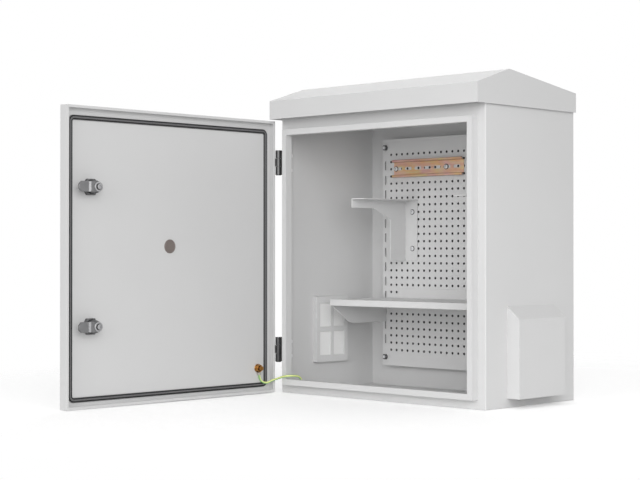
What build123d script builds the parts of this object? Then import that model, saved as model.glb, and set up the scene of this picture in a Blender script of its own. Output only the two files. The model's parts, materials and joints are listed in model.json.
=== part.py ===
from build123d import *
import os
from math import cos, pi, radians, sin, tan

os.makedirs("parts", exist_ok=True)

# Frame: X across the front, Y from the wall (0) forward to negative, Z up.
# The origin is the middle of the four wall bolts, on the wall plane.

# Body: one welded box of sheet steel
sheet = 1.5
body_width = 500.0
body_depth = 258.0
body_height = 554.0
body_bend = 2.0
wall_bolt_side = 70.0
wall_bolt_low = 78.0
wall_bolt_head = 76.0
wall_bolt_hole = 9.0

# Rain gutter folded forward round the door opening
opening_side = 28.0
opening_sill = 27.0
opening_head = 61.0
gutter_face = 10.6
gutter_projection = 16.4
gutter_return = 15.4

# Roof
roof_side_gap = 5.0
roof_front_overhang = 28.0
roof_drop = 30.0
roof_band = 35.0
roof_ridge_rise = 28.5
roof_front_slope = 89.0
roof_rail_width = 24.0
roof_rail_side = 50.0
roof_rail_edge = 21.0
roof_bolt_side = 80.0
roof_bolt_thread = 8.0
roof_bolt_head_radius = 6.8
roof_bolt_head_thick = 4.0
roof_bolt_rounding = 1.6
roof_bolt_past_channel = 1.5

# Door, standing open at a right angle to the front
door_side_gap = 6.0
door_head_gap = 3.0
door_lift = 1.0
door_thick = 20.5
door_lip = 4.8
door_bend = 2.5
door_tip_from_axis = 1.0
liner_sheet = 1.0
liner_gap = 0.5
hinge_axis_out = 2.0
hinge_axis_forward = 7.0

# Door gasket, a rubber strip that closes on the gutter
gasket_width = 8.5
gasket_thick = 3.6
gasket_clear = 0.4
gasket_overlap = 0.4
gasket_drop = 4.5
gasket_rise = 1.4
gasket_corner = 12.0

# Hinges
hinge_low = 83.0
hinge_head = 112.0
barrel_length = 47.0
barrel_radius = 6.0
knuckle_gap = 0.4
pin_radius = 3.0
pin_clearance = 0.05
pin_head = 1.2
pin_head_radius = 5.0
leaf_thick = 3.0
leaf_reach = 30.0
leaf_screw_inset = 10.0
leaf_screw_pitch = 28.0
leaf_screw_thread = 5.0
leaf_screw_head_radius = 4.5
leaf_screw_head_thick = 2.5
leaf_screw_rounding = 1.2
leaf_screw_past_wall = 5.0
leaf_nut_flats = 8.0
leaf_nut_thick = 4.0
door_leaf_inset = 1.0
door_leaf_reach = 15.0
screw_clearance = 0.5

# Quarter-turn locks
lock_low = 141.5
lock_head = 172.0
lock_from_free_edge = 56.0
lock_head_radius = 15.0
lock_head_thick = 4.0
lock_head_bevel = 1.0
lock_key_recess = 2.5
lock_key_radius = 4.8
lock_barrel_radius = 11.0
lock_barrel_end = 20.0
lock_nut_flats = 30.0
lock_nut_thick = 8.0
spindle_radius = 6.0
spindle_square = 8.0
cam_width = 18.0
cam_thick = 3.0
cam_reach = 39.0
cam_crank = 2.0
cam_crank_from_axis = 15.0
cam_seat = 23.4
cam_tip_bevel = 5.0
washer_thick = 1.2
washer_radius = 8.5
lock_screw_thread = 6.0
lock_screw_depth = 10.0
lock_screw_head = 3.2
lock_screw_head_radius = 5.1
lock_screw_rounding = 1.4

# Small things on the door
plug_from_hinge_edge = 252.0
plug_height = 280.0
plug_radius = 12.5
plug_thick = 2.0
plug_bevel = 0.8
plug_hole_radius = 9.0
plug_depth = 4.0

# Earth wire, its studs, nuts and ring lugs
door_stud_from_hinge_edge = 36.0
door_stud_height = 48.0
body_stud_side = 47.0
body_stud_front = 50.0
stud_thread = 8.0
stud_length = 14.0
earth_nut_flats = 13.0
earth_nut_flange = 8.0
earth_nut_flange_thick = 2.0
earth_nut_thick = 8.0
lug_ring_radius = 7.5
lug_sheet = 1.2
lug_barrel_radius = 3.0
lug_barrel_from = 8.2
lug_barrel_length = 5.0
lug_tilt = 12.0
wire_radius = 2.0
wire_door_run = 9.0
wire_body_run = 12.5
wire_arc_share = 0.45

# Mounting panel with its grid of fixing places
panel_side = 46.0
panel_sill = 42.0
panel_head = 58.0
panel_stand_off = 16.0
pitch = 14.5
panel_slot_inset = 8.25
panel_row_inset = 30.9
slot_length = 17.0
slot_width = 3.0
panel_stud_radius = 5.0
panel_stud_thread = 6.0
panel_stud_past_nut = 2.0
panel_nut_flats = 10.0
panel_nut_thick = 5.0
fixing_hole = 4.6
fixing_thread = 4.0
fixing_head_radius = 4.4
fixing_head_thick = 2.6
fixing_rounding = 1.4
fixing_past_panel = 5.0

# Mounting rail
rail_width = 35.0
rail_depth = 7.5
rail_floor = 27.0
rail_sheet = 1.0
rail_length = 180.0
rail_end_to_screw = 5.75
rail_row = 2
rail_screw_columns = (1, 10)
rail_slot_length = 18.0
rail_slot_width = 6.2
rail_slot_pitch = 25.0
rail_slots = 7
rail_first_slot = 12.5

# Device brackets
bracket_sheet = 2.0
bracket_flange = 32.0
bracket_column = 4
bracket_rows = (8, 13)
bracket_hole_inset = 19.65
bracket_hole_margin = 23.9
bracket_bend = 1.8
bracket_arm_reach = 176.0
bracket_arm_depth = 18.0
bracket_root_depth = 66.0
bracket_slope_from = 115.0
bracket_slope_drop = 20.0

# Shelf hooked into the side slots
shelf_over_hook = 33.15
shelf_reach = 180.0
shelf_front_lip = 12.0
shelf_upstand_side = 37.75
shelf_upstand = 19.0
gusset_under_hook = 14.85
gusset_toe = 5.0
gusset_slope_end = 52.0
gusset_slope_left = 3.0
gusset_level_from = 65.0
hook_slots_from_foot = 3
hook_neck = 8.0
hook_drop = 7.0
hook_thick = 3.0
hook_play = 0.3

# Side vents: a hood outside, a filter frame with its mat inside
vent_from_wall = 130.0
vent_height = 118.0
filter_width = 89.0
filter_height = 130.0
filter_depth = 10.0
filter_wall = 2.0
pane_width = 30.0
pane_height = 46.3
pane_bar_upright = 8.3
pane_bar_level = 9.9
mat_thick = 6.0
mat_play = 1.0
louvre_width = 64.0
louvre_height = 9.0
louvre_pitch = 15.0
louvre_count = 6
hood_sheet = 1.2
hood_width = 134.0
hood_foot = 16.0
hood_top = 176.0
hood_brow = 154.0
hood_projection = 27.0
hood_flange = 12.0
hood_offset = 2.0

# Places worked out from the sizes above
wall_x = body_width / 2
inner_x = wall_x - sheet
wall_bolt_across = body_width - 2 * wall_bolt_side
wall_bolt_up = body_height - wall_bolt_low - wall_bolt_head
underside_to_origin = wall_bolt_low + wall_bolt_up / 2
opening_width = body_width - 2 * opening_side
opening_height = body_height - opening_sill - opening_head
opening_centre = opening_sill + opening_height / 2
gutter_width = opening_width + 2 * gutter_face
gutter_height = opening_height + 2 * gutter_face
gutter_front = body_depth + gutter_projection
roof_half = wall_x + roof_side_gap
roof_front = body_depth + roof_front_overhang
roof_ridge_from_wall = roof_front - roof_front_slope
roof_eave_low = body_height - roof_drop
roof_eave_high = roof_eave_low + roof_band
roof_rail_length = body_width - 2 * roof_rail_side
roof_rail_span = body_depth - 2 * roof_rail_edge - roof_rail_width
roof_bolt_across = body_width - 2 * roof_bolt_side
door_width = body_width - 2 * door_side_gap
door_height = roof_eave_low - door_head_gap - door_lift
hinge_x = -wall_x - hinge_axis_out
hinge_y = -body_depth - hinge_axis_forward
hinge_heights = {"upper": body_height - hinge_head, "lower": hinge_low}
door_tip_x = hinge_x - door_tip_from_axis
door_face_x = door_tip_x - door_thick
door_edge_y = hinge_y - hinge_axis_out - door_side_gap
door_middle_y = door_edge_y - door_width / 2
door_middle_height = door_lift + door_height / 2
liner_x = hinge_x - (gutter_projection - hinge_axis_forward) - gasket_clear - gasket_thick
knuckle = (barrel_length - 2 * knuckle_gap) / 3
leaf_screw_y = -body_depth + leaf_reach - leaf_screw_inset
lock_y = door_edge_y - door_width + lock_from_free_edge
lock_heights = {"upper": body_height - lock_head, "lower": lock_low}
plug_y = door_edge_y - plug_from_hinge_edge
door_stud_y = door_edge_y - door_stud_from_hinge_edge
body_stud_x = -wall_x + body_stud_side
body_stud_y = -body_depth + body_stud_front
panel_width = body_width - 2 * panel_side
panel_height = body_height - panel_sill - panel_head
panel_back = sheet + panel_stand_off
panel_front = panel_back + sheet
half_columns = int((panel_width / 2 - panel_slot_inset) / pitch - 0.5)
first_column = (0.5 - half_columns) * pitch
first_row = panel_sill + panel_height - panel_row_inset
rows = int((panel_height - 2 * panel_row_inset) / pitch) + 1
slot_count = (rows - 1) // 2
panel_stud_x = first_column - pitch
panel_stud_heights = (first_row + pitch, first_row - rows * pitch)
vent_y = -vent_from_wall


def up(height):
    """Height above the underside of the body, told in the part's own frame."""
    return height - underside_to_origin


def column(number):
    """X of one upright line of fixing places in the mounting panel."""
    return first_column + number * pitch


def row(number):
    """Height of one level line of fixing places in the mounting panel."""
    return first_row - number * pitch


def slot_height(number):
    """Height of the middle of one slot in the panel's two slot columns."""
    return row(1.5 + 2 * number)


def square_ring(width, height, inner_width, inner_height):
    """Upright rectangular ring, drawn in the sketch that is open."""
    Rectangle(width, height)
    Rectangle(inner_width, inner_height, mode=Mode.SUBTRACT)


# Body: a closed box, hollowed, then opened at the front
with BuildPart() as cabinet_body:
    with BuildSketch(Plane.XY.offset(up(0))):
        with Locations((0, -body_depth / 2)):
            Rectangle(body_width, body_depth)
    extrude(amount=body_height)
    fillet(cabinet_body.edges().filter_by(Axis.Z), body_bend)
    with BuildSketch(Plane.XY.offset(up(sheet))):
        with Locations((0, -body_depth / 2)):
            Rectangle(body_width - 2 * sheet, body_depth - 2 * sheet)
    extrude(amount=body_height - 2 * sheet, mode=Mode.SUBTRACT)
    with BuildSketch(Plane.XZ.offset(body_depth - sheet)):
        with Locations((0, up(opening_centre))):
            Rectangle(gutter_width - 2 * sheet, gutter_height - 2 * sheet)
    extrude(amount=sheet, mode=Mode.SUBTRACT)
    # The gutter's outer leg, its face and the leg that turns back inside
    with BuildSketch(Plane.XZ.offset(body_depth - sheet)):
        with Locations((0, up(opening_centre))):
            square_ring(gutter_width, gutter_height, gutter_width - 2 * sheet, gutter_height - 2 * sheet)
    extrude(amount=gutter_projection + sheet)
    with BuildSketch(Plane.XZ.offset(gutter_front - sheet)):
        with Locations((0, up(opening_centre))):
            square_ring(gutter_width, gutter_height, opening_width, opening_height)
    extrude(amount=sheet)
    with BuildSketch(Plane.XZ.offset(gutter_front - gutter_return)):
        with Locations((0, up(opening_centre))):
            square_ring(opening_width + 2 * sheet, opening_height + 2 * sheet, opening_width, opening_height)
    extrude(amount=gutter_return)
    # Four holes for the wall bolts
    with BuildSketch(Plane.XZ):
        with GridLocations(wall_bolt_across, wall_bolt_up, 2, 2):
            Circle(wall_bolt_hole / 2)
    extrude(amount=sheet, mode=Mode.SUBTRACT)
    # Stepped weld studs that hold the mounting panel off the back
    with BuildSketch(Plane.XZ.offset(sheet)):
        for height in panel_stud_heights:
            with Locations((panel_stud_x, up(height)), (-panel_stud_x, up(height))):
                Circle(panel_stud_radius)
    extrude(amount=panel_stand_off)
    with BuildSketch(Plane.XZ.offset(panel_back)):
        for height in panel_stud_heights:
            with Locations((panel_stud_x, up(height)), (-panel_stud_x, up(height))):
                Circle(panel_stud_thread / 2)
    extrude(amount=sheet + panel_nut_thick + panel_stud_past_nut)
    # Slots behind the side vents
    with BuildSketch(Plane.YZ.offset(-wall_x)):
        with Locations((vent_y, up(vent_height))):
            with GridLocations(1, louvre_pitch, 1, louvre_count):
                Rectangle(louvre_width, louvre_height)
    extrude(amount=body_width, mode=Mode.SUBTRACT)
    # Holes for the hinge screws in the left wall
    with BuildSketch(Plane.YZ.offset(-wall_x)):
        for height in hinge_heights.values():
            with Locations((leaf_screw_y, up(height))):
                with GridLocations(1, leaf_screw_pitch, 1, 2):
                    Circle((leaf_screw_thread + screw_clearance) / 2)
    extrude(amount=sheet, mode=Mode.SUBTRACT)
    # Holes for the roof bolts in the top
    with BuildSketch(Plane.XY.offset(up(body_height - sheet))):
        with Locations((0, -body_depth / 2)):
            with GridLocations(roof_bolt_across, roof_rail_span, 2, 2):
                Circle((roof_bolt_thread + screw_clearance) / 2)
    extrude(amount=sheet, mode=Mode.SUBTRACT)
    # Earth stud on the floor
    with BuildSketch(Plane.XY.offset(up(sheet))):
        with Locations((body_stud_x, body_stud_y)):
            Circle(stud_thread / 2)
    extrude(amount=stud_length)
cabinet_body.part.label = "cabinet_body"
export_step(cabinet_body.part, "parts/cabinet_body.step")


# Roof: a folded cap with gable ends, open below and towards the wall
roof_outline = (
    (0, up(roof_eave_low)),
    (0, up(roof_eave_high)),
    (-roof_ridge_from_wall, up(roof_eave_high + roof_ridge_rise)),
    (-roof_front, up(roof_eave_high)),
    (-roof_front, up(roof_eave_low)),
)
with BuildPart() as roof_canopy:
    with BuildSketch(Plane.YZ.offset(-roof_half)):
        with BuildLine():
            Polyline(*roof_outline, close=True)
        make_face()
    extrude(amount=2 * roof_half)
    roof_faces = roof_canopy.faces()
    open_faces = [roof_faces.sort_by(Axis.Z)[0], roof_faces.sort_by(Axis.Y)[-1]]
    offset(amount=-sheet, openings=open_faces, kind=Kind.INTERSECTION)
    # Two channels under the roof that rest on the body's top
    with BuildSketch(Plane.YZ.offset(-roof_rail_length / 2)):
        for rail_y in (-roof_rail_edge - roof_rail_width / 2, -body_depth + roof_rail_edge + roof_rail_width / 2):
            with Locations((rail_y, up(body_height))):
                Rectangle(roof_rail_width, 2 * roof_band, align=(Align.CENTER, Align.MIN))
            with Locations((rail_y, up(body_height + sheet))):
                Rectangle(
                    roof_rail_width - 2 * sheet,
                    2 * roof_band,
                    align=(Align.CENTER, Align.MIN),
                    mode=Mode.SUBTRACT,
                )
        with BuildLine():
            Polyline(*roof_outline, close=True)
        make_face(mode=Mode.INTERSECT)
    extrude(amount=roof_rail_length)
    with BuildSketch(Plane.XY.offset(up(body_height))):
        with Locations((0, -body_depth / 2)):
            with GridLocations(roof_bolt_across, roof_rail_span, 2, 2):
                Circle(roof_bolt_thread / 2)
    extrude(amount=sheet, mode=Mode.SUBTRACT)
roof_canopy.part.label = "roof_canopy"
export_step(roof_canopy.part, "parts/roof_canopy.step")


# Roof bolts, driven up from inside the body
bolt_middle_y = -body_depth / 2
roof_bolt_places = {
    "back_left": (-roof_bolt_across / 2, bolt_middle_y + roof_rail_span / 2),
    "front_left": (-roof_bolt_across / 2, bolt_middle_y - roof_rail_span / 2),
    "back_right": (roof_bolt_across / 2, bolt_middle_y + roof_rail_span / 2),
    "front_right": (roof_bolt_across / 2, bolt_middle_y - roof_rail_span / 2),
}
for name, place in roof_bolt_places.items():
    with BuildPart() as roof_bolt:
        with BuildSketch(Plane.XY.offset(up(body_height - sheet))):
            with Locations(place):
                Circle(roof_bolt_head_radius)
        extrude(amount=-roof_bolt_head_thick)
        chamfer(roof_bolt.edges().sort_by(Axis.Z)[0], roof_bolt_rounding)
        with BuildSketch(Plane.XY.offset(up(body_height - sheet))):
            with Locations(place):
                Circle(roof_bolt_thread / 2)
        extrude(amount=2 * sheet + roof_bolt_past_channel)
    roof_bolt.part.label = f"roof_bolt_{name}"
    export_step(roof_bolt.part, f"parts/{roof_bolt.part.label}.step")


# Mounting panel: slot columns at both sides, studs at the corners,
# and the grid places that carry screws; the open grid is in the finish
screw_places = {
    "rail_screw_left": (column(rail_screw_columns[0]), row(rail_row), rail_sheet),
    "rail_screw_right": (column(rail_screw_columns[1]), row(rail_row), rail_sheet),
    "bracket_screw_left_upper": (column(bracket_column), row(bracket_rows[0]), bracket_sheet),
    "bracket_screw_left_lower": (column(bracket_column), row(bracket_rows[1]), bracket_sheet),
    "bracket_screw_right_upper": (-column(bracket_column), row(bracket_rows[0]), bracket_sheet),
    "bracket_screw_right_lower": (-column(bracket_column), row(bracket_rows[1]), bracket_sheet),
}
with BuildPart() as mounting_panel:
    with BuildSketch(Plane.XZ.offset(panel_back)):
        with Locations((0, up(panel_sill + panel_height / 2))):
            Rectangle(panel_width, panel_height)
        for side in (-1, 1):
            for number in range(slot_count):
                with Locations((side * panel_stud_x, up(slot_height(number)))):
                    Rectangle(slot_width, slot_length, mode=Mode.SUBTRACT)
            for height in panel_stud_heights:
                with Locations((side * panel_stud_x, up(height))):
                    Circle((panel_stud_thread + screw_clearance) / 2, mode=Mode.SUBTRACT)
        for place_x, height, under_head in screw_places.values():
            with Locations((place_x, up(height))):
                Circle(fixing_hole / 2, mode=Mode.SUBTRACT)
    extrude(amount=sheet)
mounting_panel.part.label = "mounting_panel"
export_step(mounting_panel.part, "parts/mounting_panel.step")


# Nuts on the panel's corner studs
for side, side_name in ((-1, "left"), (1, "right")):
    for height, height_name in zip(panel_stud_heights, ("upper", "lower")):
        with BuildPart() as panel_nut:
            with BuildSketch(Plane.XZ.offset(panel_front)):
                with Locations((side * panel_stud_x, up(height))):
                    RegularPolygon(panel_nut_flats / 2, 6, major_radius=False)
                    Circle(panel_stud_thread / 2, mode=Mode.SUBTRACT)
            extrude(amount=panel_nut_thick)
        panel_nut.part.label = f"panel_nut_{side_name}_{height_name}"
        export_step(panel_nut.part, f"parts/{panel_nut.part.label}.step")


# Mounting rail: a folded top-hat strip with a row of slots
rail_left_end = column(rail_screw_columns[0]) - rail_end_to_screw
rail_z = up(row(rail_row))
rail_back = -panel_front
rail_front = rail_back - rail_depth
with BuildPart() as din_rail:
    with BuildSketch(Plane.YZ.offset(rail_left_end)):
        with BuildLine():
            Polyline(
                (rail_front, rail_z + rail_width / 2),
                (rail_front, rail_z + rail_floor / 2 - rail_sheet),
                (rail_back - rail_sheet, rail_z + rail_floor / 2 - rail_sheet),
                (rail_back - rail_sheet, rail_z - rail_floor / 2 + rail_sheet),
                (rail_front, rail_z - rail_floor / 2 + rail_sheet),
                (rail_front, rail_z - rail_width / 2),
                (rail_front + rail_sheet, rail_z - rail_width / 2),
                (rail_front + rail_sheet, rail_z - rail_floor / 2),
                (rail_back, rail_z - rail_floor / 2),
                (rail_back, rail_z + rail_floor / 2),
                (rail_front + rail_sheet, rail_z + rail_floor / 2),
                (rail_front + rail_sheet, rail_z + rail_width / 2),
                close=True,
            )
        make_face()
    extrude(amount=rail_length)
    with BuildSketch(Plane.XZ.offset(panel_front)):
        with Locations((rail_left_end + rail_first_slot, rail_z)):
            with GridLocations(rail_slot_pitch, 1, rail_slots, 1, align=(Align.MIN, Align.CENTER)):
                SlotOverall(rail_slot_length, rail_slot_width)
    extrude(amount=rail_sheet, mode=Mode.SUBTRACT)
din_rail.part.label = "din_rail"
export_step(din_rail.part, "parts/din_rail.step")


# Round-head screws of the rail and the brackets
for name, (place_x, height, under_head) in screw_places.items():
    with BuildPart() as panel_screw:
        with BuildSketch(Plane.XZ.offset(panel_front + under_head)):
            with Locations((place_x, up(height))):
                Circle(fixing_head_radius)
        extrude(amount=fixing_head_thick)
        chamfer(panel_screw.edges().sort_by(Axis.Y)[0], fixing_rounding)
        with BuildSketch(Plane.XZ.offset(panel_front + under_head)):
            with Locations((place_x, up(height))):
                Circle(fixing_thread / 2)
        extrude(amount=-(under_head + sheet + fixing_past_panel))
    panel_screw.part.label = name
    export_step(panel_screw.part, f"parts/{panel_screw.part.label}.step")


# Device bracket: a folded arm with a top flange and a flange on the panel
bracket_side = bracket_hole_inset - column(bracket_column)
bracket_top = row(bracket_rows[0]) + bracket_hole_margin
bracket_foot = row(bracket_rows[1]) - bracket_hole_margin
with BuildPart() as bracket_left:
    with BuildSketch(Plane.YZ.offset(-bracket_side)):
        with BuildLine():
            Polyline(
                (-panel_front, up(bracket_foot)),
                (-panel_front, up(bracket_top)),
                (-bracket_arm_reach, up(bracket_top)),
                (-bracket_arm_reach, up(bracket_top - bracket_arm_depth)),
                (-bracket_slope_from, up(bracket_top - bracket_arm_depth)),
                (-bracket_root_depth, up(bracket_top - bracket_arm_depth - bracket_slope_drop)),
                (-bracket_root_depth, up(bracket_foot)),
                close=True,
            )
        make_face()
    extrude(amount=bracket_sheet)
    with BuildSketch(Plane.XZ.offset(panel_front)):
        with Locations((-bracket_side, up(bracket_foot))):
            Rectangle(bracket_flange, bracket_top - bracket_foot, align=(Align.MIN, Align.MIN))
        for number in bracket_rows:
            with Locations((column(bracket_column), up(row(number)))):
                Circle(fixing_hole / 2, mode=Mode.SUBTRACT)
    extrude(amount=bracket_sheet)
    with BuildSketch(Plane.XY.offset(up(bracket_top - bracket_sheet))):
        with Locations((-bracket_side, -panel_front)):
            Rectangle(
                bracket_flange,
                bracket_arm_reach - panel_front,
                align=(Align.MIN, Align.MAX),
            )
    extrude(amount=bracket_sheet)
    fillet(bracket_left.edges().filter_by(Axis.Y).group_by(Axis.Z)[-1].sort_by(Axis.X)[0], bracket_bend)
bracket_left.part.label = "bracket_left"
export_step(bracket_left.part, "parts/bracket_left.step")

with BuildPart() as bracket_right:
    add(mirror(bracket_left.part, about=Plane.YZ, mode=Mode.PRIVATE))
bracket_right.part.label = "bracket_right"
export_step(bracket_right.part, "parts/bracket_right.step")


# Shelf: a tray with a front lip, side gussets, a rear upstand and two hooks
gusset_x = -panel_stud_x
hook_foot = slot_height(slot_count - hook_slots_from_foot) - slot_length / 2
shelf_top = hook_foot + shelf_over_hook
gusset_foot = hook_foot - gusset_under_hook
with BuildPart() as shelf:
    with BuildSketch(Plane.XY.offset(up(shelf_top - sheet))):
        with Locations((0, -panel_front)):
            Rectangle(2 * gusset_x + sheet, shelf_reach - panel_front, align=(Align.CENTER, Align.MAX))
    extrude(amount=sheet)
    with BuildSketch(Plane.XZ.offset(shelf_reach - sheet)):
        with Locations((0, up(shelf_top))):
            Rectangle(2 * gusset_x + sheet, shelf_front_lip, align=(Align.CENTER, Align.MAX))
    extrude(amount=sheet)
    with BuildSketch(Plane.XZ.offset(panel_front)):
        with Locations((0, up(shelf_top - sheet))):
            Rectangle(
                2 * (gusset_x - shelf_upstand_side),
                shelf_upstand + sheet,
                align=(Align.CENTER, Align.MIN),
            )
    extrude(amount=sheet)
    for side in (-1, 1):
        with BuildSketch(Plane.YZ.offset(side * gusset_x - sheet / 2)):
            with BuildLine():
                Polyline(
                    (-shelf_reach, up(shelf_top)),
                    (-shelf_reach, up(shelf_top - shelf_front_lip)),
                    (-shelf_reach + gusset_toe, up(shelf_top - shelf_front_lip)),
                    (-shelf_reach + gusset_slope_end, up(gusset_foot + gusset_slope_left)),
                    (-shelf_reach + gusset_level_from, up(gusset_foot)),
                    (-panel_front, up(gusset_foot)),
                    (-panel_front, up(hook_foot)),
                    (-panel_back + hook_play, up(hook_foot)),
                    (-panel_back + hook_play, up(hook_foot - hook_drop)),
                    (-panel_back + hook_play + hook_thick, up(hook_foot - hook_drop)),
                    (-panel_back + hook_play + hook_thick, up(hook_foot + hook_neck)),
                    (-panel_front, up(hook_foot + hook_neck)),
                    (-panel_front, up(shelf_top)),
                    close=True,
                )
            make_face()
        extrude(amount=sheet)
shelf.part.label = "shelf"
export_step(shelf.part, "parts/shelf.step")


# Vent hood: a sloped cover open below, with flanges against the wall
with BuildPart() as vent_hood_right:
    with BuildSketch(Plane.XZ.offset(vent_from_wall + hood_offset - hood_width / 2)):
        with BuildLine():
            Polyline(
                (wall_x, up(hood_foot)),
                (wall_x, up(hood_top)),
                (wall_x + hood_projection, up(hood_brow)),
                (wall_x + hood_projection, up(hood_foot)),
                close=True,
            )
        make_face()
    extrude(amount=hood_width)
    hood_faces = vent_hood_right.faces()
    open_faces = [hood_faces.sort_by(Axis.Z)[0], hood_faces.sort_by(Axis.X)[0]]
    offset(amount=-hood_sheet, openings=open_faces, kind=Kind.INTERSECTION)
    with BuildSketch(Plane.YZ.offset(wall_x)):
        with Locations((vent_y - hood_offset, up(hood_foot))):
            with GridLocations(hood_width - hood_flange, 1, 2, 1):
                Rectangle(hood_flange, hood_top - hood_foot - 2 * hood_sheet, align=(Align.CENTER, Align.MIN))
    extrude(amount=hood_sheet)
vent_hood_right.part.label = "vent_hood_right"
export_step(vent_hood_right.part, "parts/vent_hood_right.step")

with BuildPart() as vent_hood_left:
    add(mirror(vent_hood_right.part, about=Plane.YZ, mode=Mode.PRIVATE))
vent_hood_left.part.label = "vent_hood_left"
export_step(vent_hood_left.part, "parts/vent_hood_left.step")


# Filter frame: a moulded tray against the wall with four windows
with BuildPart() as filter_frame_left:
    with BuildSketch(Plane.YZ.offset(-inner_x)):
        with Locations((vent_y, up(vent_height))):
            RectangleRounded(filter_width, filter_height, filter_wall)
    extrude(amount=filter_depth)
    with BuildSketch(Plane.YZ.offset(-inner_x)):
        with Locations((vent_y, up(vent_height))):
            Rectangle(filter_width - 2 * filter_wall, filter_height - 2 * filter_wall)
    extrude(amount=filter_depth - filter_wall, mode=Mode.SUBTRACT)
    with BuildSketch(Plane.YZ.offset(-inner_x + filter_depth - filter_wall)):
        with Locations((vent_y, up(vent_height))):
            with GridLocations(pane_width + pane_bar_upright, pane_height + pane_bar_level, 2, 2):
                Rectangle(pane_width, pane_height)
    extrude(amount=filter_wall, mode=Mode.SUBTRACT)
filter_frame_left.part.label = "filter_frame_left"
export_step(filter_frame_left.part, "parts/filter_frame_left.step")

with BuildPart() as filter_frame_right:
    add(mirror(filter_frame_left.part, about=Plane.YZ, mode=Mode.PRIVATE))
filter_frame_right.part.label = "filter_frame_right"
export_step(filter_frame_right.part, "parts/filter_frame_right.step")


# Filter mats, held between the wall and the frame's windows
for side, side_name in ((-1, "left"), (1, "right")):
    with BuildPart() as filter_mat:
        with BuildSketch(Plane.YZ.offset(side * (inner_x - filter_depth + filter_wall))):
            with Locations((vent_y, up(vent_height))):
                Rectangle(
                    filter_width - 2 * (filter_wall + mat_play),
                    filter_height - 2 * (filter_wall + mat_play),
                )
        extrude(amount=side * mat_thick)
    filter_mat.part.label = f"filter_mat_{side_name}"
    export_step(filter_mat.part, f"parts/{filter_mat.part.label}.step")


# Door shell: a folded tray with narrow lips at its edge
with BuildPart() as door_shell:
    with BuildSketch(Plane.YZ.offset(door_face_x)):
        with Locations((door_middle_y, up(door_middle_height))):
            Rectangle(door_width, door_height)
    extrude(amount=door_thick)
    fillet(door_shell.edges().group_by(Axis.X)[0], door_bend)
    with BuildSketch(Plane.YZ.offset(door_face_x + sheet)):
        with Locations((door_middle_y, up(door_middle_height))):
            Rectangle(door_width - 2 * sheet, door_height - 2 * sheet)
    extrude(amount=door_thick - sheet, mode=Mode.SUBTRACT)
    with BuildSketch(Plane.YZ.offset(door_tip_x - sheet)):
        with Locations((door_middle_y, up(door_middle_height))):
            square_ring(door_width, door_height, door_width - 2 * door_lip, door_height - 2 * door_lip)
    extrude(amount=sheet)
    with BuildSketch(Plane.YZ.offset(door_face_x)):
        for height in lock_heights.values():
            with Locations((lock_y, up(height))):
                Circle(lock_barrel_radius + screw_clearance / 2)
    extrude(amount=sheet, mode=Mode.SUBTRACT)
door_shell.part.label = "door_shell"
export_step(door_shell.part, "parts/door_shell.step")


# Door liner: the inner skin, a shallow tray turned towards the shell
with BuildPart() as door_liner:
    with BuildSketch(Plane.YZ.offset(door_face_x + sheet)):
        with Locations((door_middle_y, up(door_middle_height))):
            Rectangle(door_width - 2 * (sheet + liner_gap), door_height - 2 * (sheet + liner_gap))
    extrude(amount=liner_x - door_face_x - sheet)
    offset(amount=-liner_sheet, openings=door_liner.faces().sort_by(Axis.X)[0], kind=Kind.INTERSECTION)
    with BuildSketch(Plane.YZ.offset(liner_x - liner_sheet)):
        for height in lock_heights.values():
            with Locations((lock_y, up(height))):
                Circle(lock_barrel_radius + screw_clearance / 2)
        with Locations((plug_y, up(plug_height))):
            Circle(plug_hole_radius + screw_clearance / 2)
    extrude(amount=liner_sheet, mode=Mode.SUBTRACT)
    # Earth stud welded to the liner
    with BuildSketch(Plane.YZ.offset(liner_x)):
        with Locations((door_stud_y, up(door_stud_height))):
            Circle(stud_thread / 2)
    extrude(amount=stud_length)
door_liner.part.label = "door_liner"
export_step(door_liner.part, "parts/door_liner.step")


# Gasket: one closed strip with round corners on the liner
gasket_width_over_all = gutter_width + 2 * gasket_overlap
gasket_height_over_all = gutter_height + gasket_drop + gasket_rise
gasket_middle = opening_centre + (gasket_rise - gasket_drop) / 2
gasket_middle_y = hinge_y + hinge_x
with BuildPart() as door_gasket:
    with BuildSketch(Plane.YZ.offset(liner_x)):
        with Locations((gasket_middle_y, up(gasket_middle))):
            RectangleRounded(gasket_width_over_all, gasket_height_over_all, gasket_corner)
            RectangleRounded(
                gasket_width_over_all - 2 * gasket_width,
                gasket_height_over_all - 2 * gasket_width,
                gasket_corner - gasket_width,
                mode=Mode.SUBTRACT,
            )
    extrude(amount=gasket_thick)
door_gasket.part.label = "door_gasket"
export_step(door_gasket.part, "parts/door_gasket.step")


# Plug: a round cap pressed into the liner
with BuildPart() as door_plug:
    with BuildSketch(Plane.YZ.offset(liner_x)):
        with Locations((plug_y, up(plug_height))):
            Circle(plug_radius)
    extrude(amount=plug_thick)
    chamfer(door_plug.edges().sort_by(Axis.X)[-1], plug_bevel)
    with BuildSketch(Plane.YZ.offset(liner_x)):
        with Locations((plug_y, up(plug_height))):
            Circle(plug_hole_radius)
    extrude(amount=-plug_depth)
door_plug.part.label = "door_plug"
export_step(door_plug.part, "parts/door_plug.step")


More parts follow.
